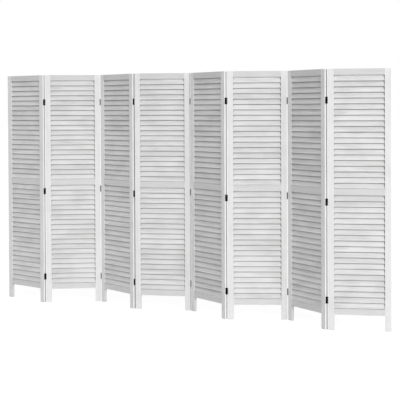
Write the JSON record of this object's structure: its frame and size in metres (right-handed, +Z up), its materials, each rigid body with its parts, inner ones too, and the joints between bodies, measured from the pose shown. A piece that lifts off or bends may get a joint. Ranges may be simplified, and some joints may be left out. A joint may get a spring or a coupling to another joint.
{
  "type": "louvered room divider",
  "caption": "Free-standing folding screen of framed louvered panels in white-washed wood, joined by small dark butt hinges so that it stands in a zigzag, opens flat or folds up.",
  "frame": {"origin": "middle of the footprint's bounding box, on the floor, as the screen stands in its zigzag", "axes": "+X along the line from the first panel's free edge to the last panel's, +Z up, the pictured front towards -Y"},
  "size_m": [3.0574, 0.2792, 1.7],
  "materials": {
    "stile_wood": "white-washed, matt, grain upright",
    "rail_wood": "white-washed, matt, grain lengthways",
    "slat_wood": "white-washed, matt, grain lengthways",
    "hinge_leaf_metal": "dark bronze, satin",
    "hinge_screw_metal": "dark bronze, satin",
    "hinge_pin_metal": "darkened steel"
  },
  "bodies": {
    "panel_1": {"panel_1_left_stile": "stile_wood", "panel_1_right_stile": "stile_wood", "panel_1_rails": "rail_wood", "panel_1_slats": "slat_wood", "panel_1_hinge_leaves": "hinge_leaf_metal", "panel_1_hinge_screws": "hinge_screw_metal", "joint_1_hinge_pins": "hinge_pin_metal"},
    "panel_2": {"panel_2_left_stile": "stile_wood", "panel_2_right_stile": "stile_wood", "panel_2_rails": "rail_wood", "panel_2_slats": "slat_wood", "panel_2_hinge_leaves": "hinge_leaf_metal", "panel_2_hinge_screws": "hinge_screw_metal", "joint_2_hinge_pins": "hinge_pin_metal"},
    "panel_3": {"panel_3_left_stile": "stile_wood", "panel_3_right_stile": "stile_wood", "panel_3_rails": "rail_wood", "panel_3_slats": "slat_wood", "panel_3_hinge_leaves": "hinge_leaf_metal", "panel_3_hinge_screws": "hinge_screw_metal", "joint_3_hinge_pins": "hinge_pin_metal"},
    "panel_4": {"panel_4_left_stile": "stile_wood", "panel_4_right_stile": "stile_wood", "panel_4_rails": "rail_wood", "panel_4_slats": "slat_wood", "panel_4_hinge_leaves": "hinge_leaf_metal", "panel_4_hinge_screws": "hinge_screw_metal", "joint_4_hinge_pins": "hinge_pin_metal"},
    "panel_5": {"panel_5_left_stile": "stile_wood", "panel_5_right_stile": "stile_wood", "panel_5_rails": "rail_wood", "panel_5_slats": "slat_wood", "panel_5_hinge_leaves": "hinge_leaf_metal", "panel_5_hinge_screws": "hinge_screw_metal", "joint_5_hinge_pins": "hinge_pin_metal"},
    "panel_6": {"panel_6_left_stile": "stile_wood", "panel_6_right_stile": "stile_wood", "panel_6_rails": "rail_wood", "panel_6_slats": "slat_wood", "panel_6_hinge_leaves": "hinge_leaf_metal", "panel_6_hinge_screws": "hinge_screw_metal", "joint_6_hinge_pins": "hinge_pin_metal"},
    "panel_7": {"panel_7_left_stile": "stile_wood", "panel_7_right_stile": "stile_wood", "panel_7_rails": "rail_wood", "panel_7_slats": "slat_wood", "panel_7_hinge_leaves": "hinge_leaf_metal", "panel_7_hinge_screws": "hinge_screw_metal", "joint_7_hinge_pins": "hinge_pin_metal"},
    "panel_8": {"panel_8_left_stile": "stile_wood", "panel_8_right_stile": "stile_wood", "panel_8_rails": "rail_wood", "panel_8_slats": "slat_wood", "panel_8_hinge_leaves": "hinge_leaf_metal", "panel_8_hinge_screws": "hinge_screw_metal"}
  },
  "joints": [
    {"name": "hinge_1_2", "type": "hinge", "parent": "panel_2", "child": "panel_1", "pos_m": [-1.12733, -0.08768, 0.85], "axis": [0, 0, -1], "range_deg": [-47, 133]},
    {"name": "hinge_2_3", "type": "hinge", "parent": "panel_3", "child": "panel_2", "pos_m": [-0.77354, 0.12183, 0.85], "axis": [0, 0, 1], "range_deg": [-56.5, 123.5]},
    {"name": "hinge_3_4", "type": "hinge", "parent": "panel_4", "child": "panel_3", "pos_m": [-0.38679, -0.01774, 0.85], "axis": [0, 0, -1], "range_deg": [-39.5, 140.5]},
    {"name": "hinge_4_5", "type": "hinge", "parent": "panel_4", "child": "panel_5", "pos_m": [0.01279, 0.07918, 0.85], "axis": [0, 0, -1], "range_deg": [-43.5, 136.5]},
    {"name": "hinge_5_6", "type": "hinge", "parent": "panel_5", "child": "panel_6", "pos_m": [0.38887, -0.08703, 0.85], "axis": [0, 0, 1], "range_deg": [-52, 128]},
    {"name": "hinge_6_7", "type": "hinge", "parent": "panel_6", "child": "panel_7", "pos_m": [0.76974, 0.06789, 0.85], "axis": [0, 0, -1], "range_deg": [-55.5, 124.5]},
    {"name": "hinge_7_8", "type": "hinge", "parent": "panel_7", "child": "panel_8", "pos_m": [1.13496, -0.12097, 0.85], "axis": [0, 0, 1], "range_deg": [-48.5, 131.5]}
  ]
}
